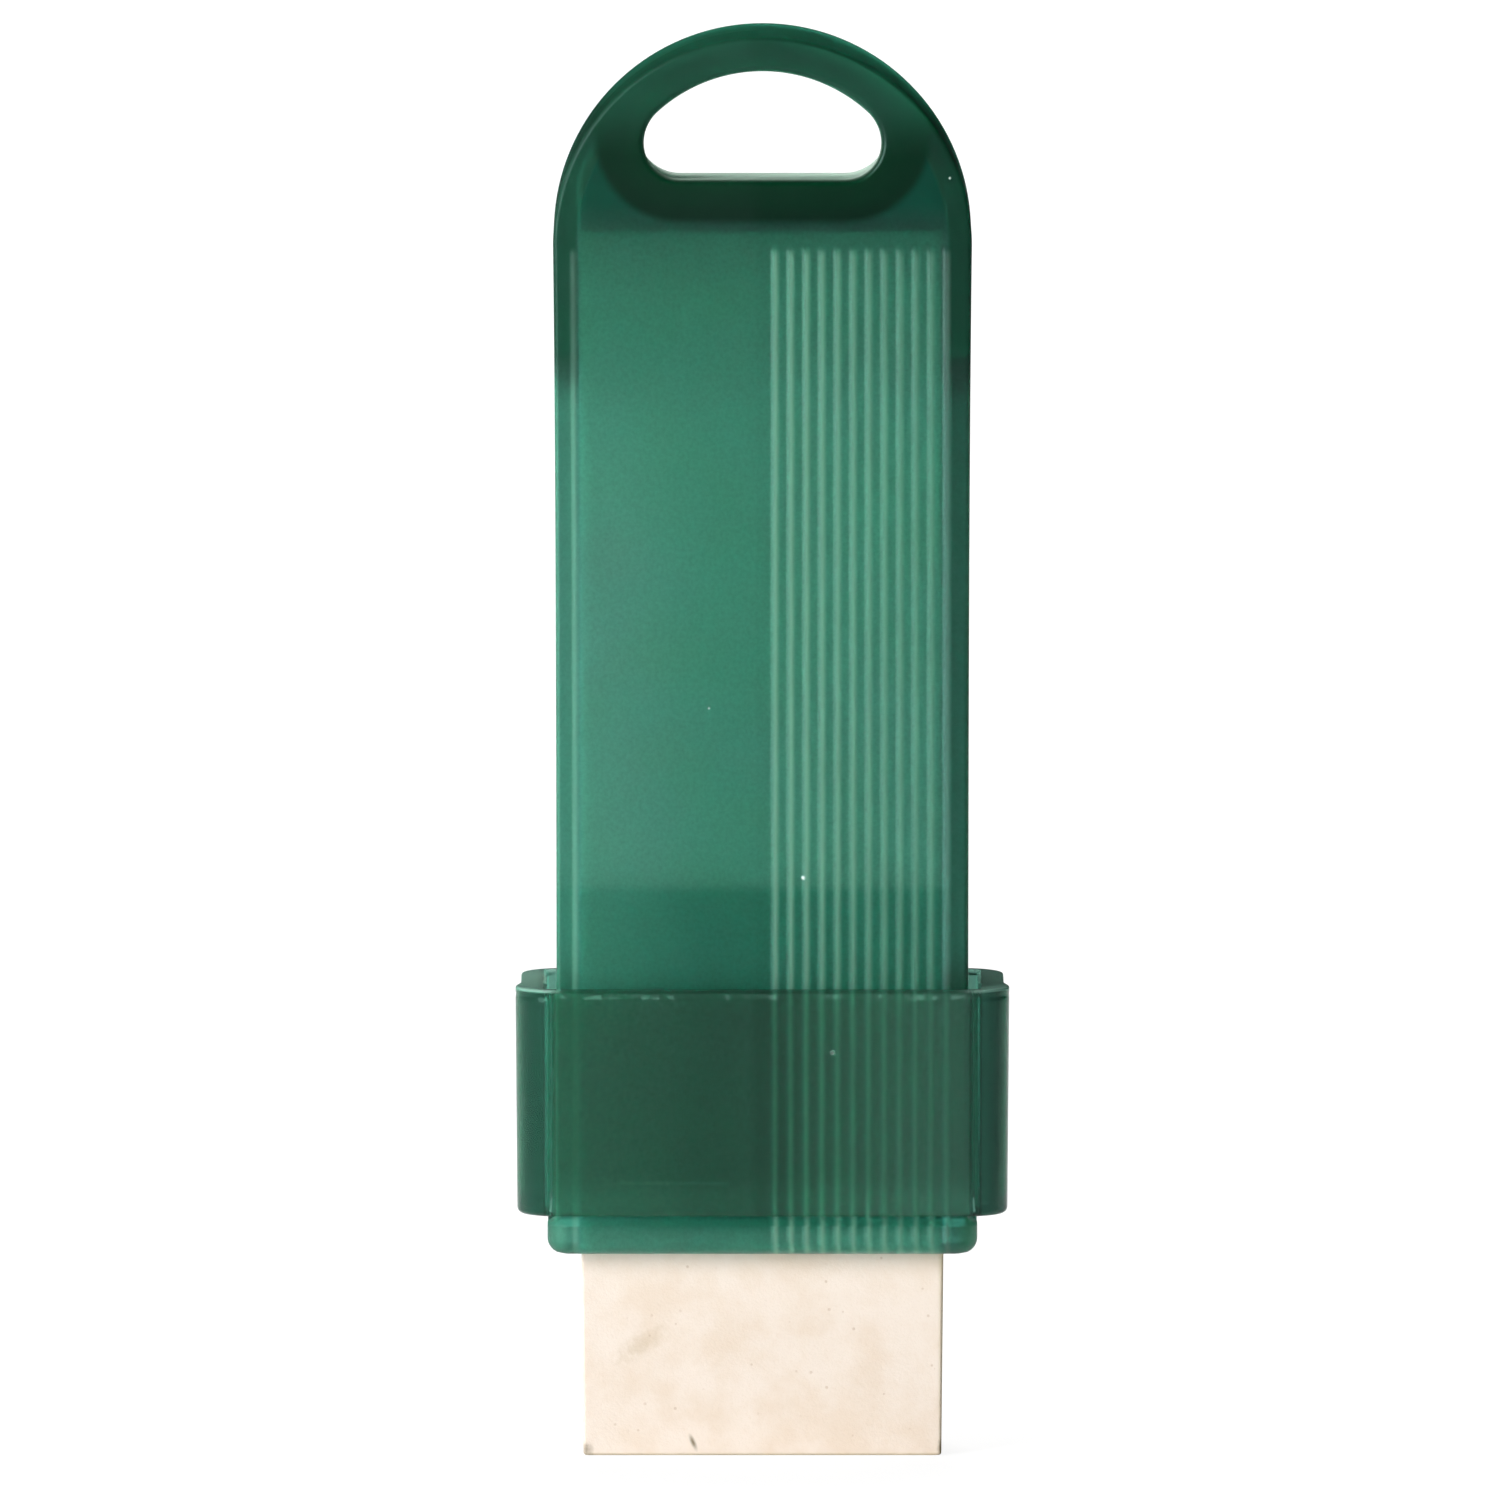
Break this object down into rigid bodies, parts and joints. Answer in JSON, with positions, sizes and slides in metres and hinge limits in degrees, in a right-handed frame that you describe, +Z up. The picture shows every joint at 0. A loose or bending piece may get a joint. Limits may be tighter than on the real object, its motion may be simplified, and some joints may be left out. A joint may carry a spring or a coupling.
{
  "type": "rust eraser",
  "caption": "Abrasive rust-removing block in a translucent green two-leaf holder with a hang hole, clamped by a sliding collar.",
  "frame": {"origin": "centre of the overall box's bottom, which is the middle of the block's working end", "axes": "+Z up along the tool from the block's working end to the hang hole, -Y out of the ribbed front, +X to the right seen from the front"},
  "size_m": [0.0408, 0.0168, 0.1182],
  "materials": {
    "abrasive_rubber": "dry matt cream rubber with fine grit, soiled a little at its edges",
    "holder_green": "translucent green moulded plastic, fine satin texture",
    "collar_green": "translucent dark green moulded plastic, fine satin texture"
  },
  "bodies": {
    "block": {"eraser_block": "abrasive_rubber"},
    "holder": {"holder": "holder_green"},
    "collar": {"lock_ring": "collar_green"}
  },
  "joints": [
    {"name": "block_feed", "type": "slide", "parent": "block", "child": "holder", "axis": [0, 0, 1], "range_m": [0, 0.054]},
    {"name": "collar_slide", "type": "slide", "parent": "holder", "child": "collar", "axis": [0, 0, 1], "range_m": [0, 0.052]}
  ]
}
